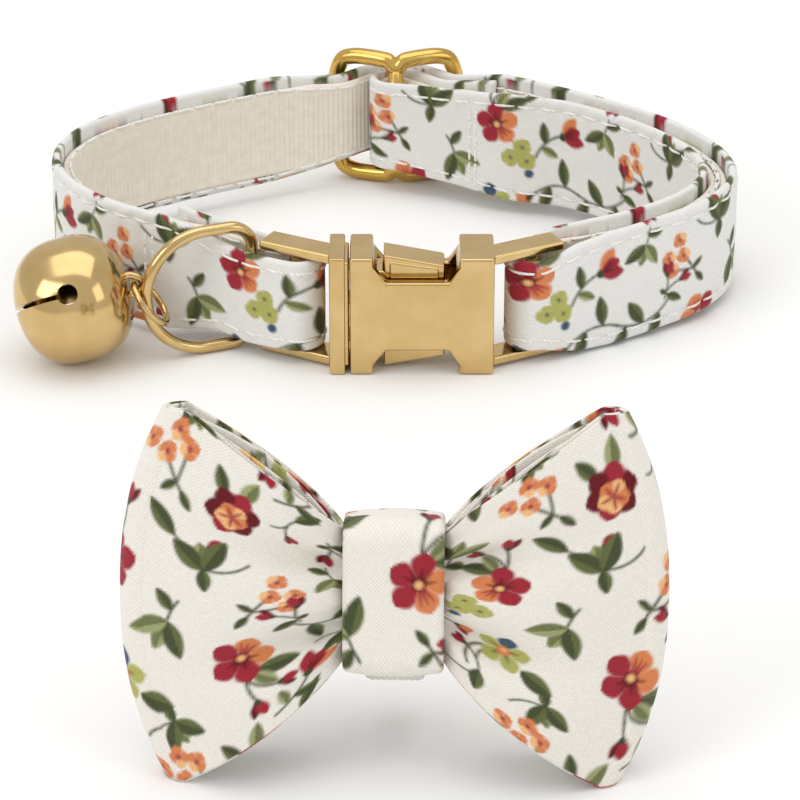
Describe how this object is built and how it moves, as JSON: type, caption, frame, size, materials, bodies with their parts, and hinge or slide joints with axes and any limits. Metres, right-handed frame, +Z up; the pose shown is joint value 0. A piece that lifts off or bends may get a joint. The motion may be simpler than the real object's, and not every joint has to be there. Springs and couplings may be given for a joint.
{
  "type": "pet bow tie collar",
  "caption": "Small cloth pet collar with side-release buckle, slider, D-ring and jingle bell, beside its slide-on bow tie.",
  "frame": {"origin": "bottom centre of the set's box, on the table it stands on", "axes": "+Z up from the table, +Y from the bow tie towards the back of the collar, +X to the right seen from the bow"},
  "size_m": [0.09, 0.1606, 0.036],
  "materials": {
    "printed_cotton": "plain-weave cotton, off-white with small printed flowers",
    "beige_webbing": "ribbed beige webbing",
    "pale_gold": "polished pale gold plating",
    "yellow_brass": "polished yellow brass plating",
    "white_elastic": "knitted white elastic"
  },
  "bodies": {
    "collar": {"strap_cover": "printed_cotton", "strap_webbing": "beige_webbing", "buckle_socket": "pale_gold", "buckle_plug": "pale_gold", "slider": "yellow_brass", "bow_body": "printed_cotton", "bow_knot": "printed_cotton", "bow_elastic": "white_elastic"},
    "bell_drop": {"d_ring": "pale_gold", "jump_ring": "pale_gold", "bell_shell": "pale_gold", "bell_pellet": "pale_gold"}
  },
  "joints": [
    {"name": "d_ring_swing", "type": "hinge", "parent": "collar", "child": "bell_drop", "pos_m": [-0.01593, 0.02258, 0.00855], "axis": [0, 0, 1], "range_deg": [-6, 60]}
  ]
}
